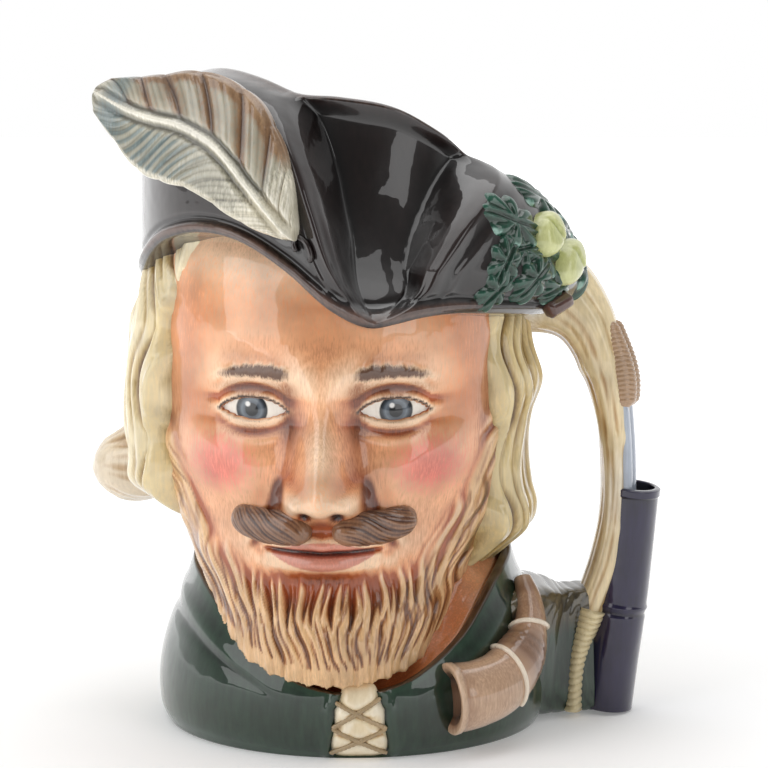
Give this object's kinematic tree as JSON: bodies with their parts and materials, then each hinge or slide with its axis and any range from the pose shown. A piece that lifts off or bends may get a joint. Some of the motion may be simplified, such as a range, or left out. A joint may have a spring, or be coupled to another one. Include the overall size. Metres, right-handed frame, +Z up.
{
  "type": "toby jug",
  "caption": "Glazed earthenware character jug cast as the head of a bearded woodsman in a cocked hat, open at the crown, with a bow-shaped handle.",
  "frame": {"origin": "on the floor under the middle of the bounding box", "axes": "+Z up, the face looks along -Y, the handle stands out along +X"},
  "size_m": [0.169, 0.1332, 0.1899],
  "materials": {
    "glazed_earthenware": "hand-painted under a clear gloss glaze"
  },
  "bodies": {
    "root": {"jug": "glazed_earthenware"}
  },
  "joints": []
}
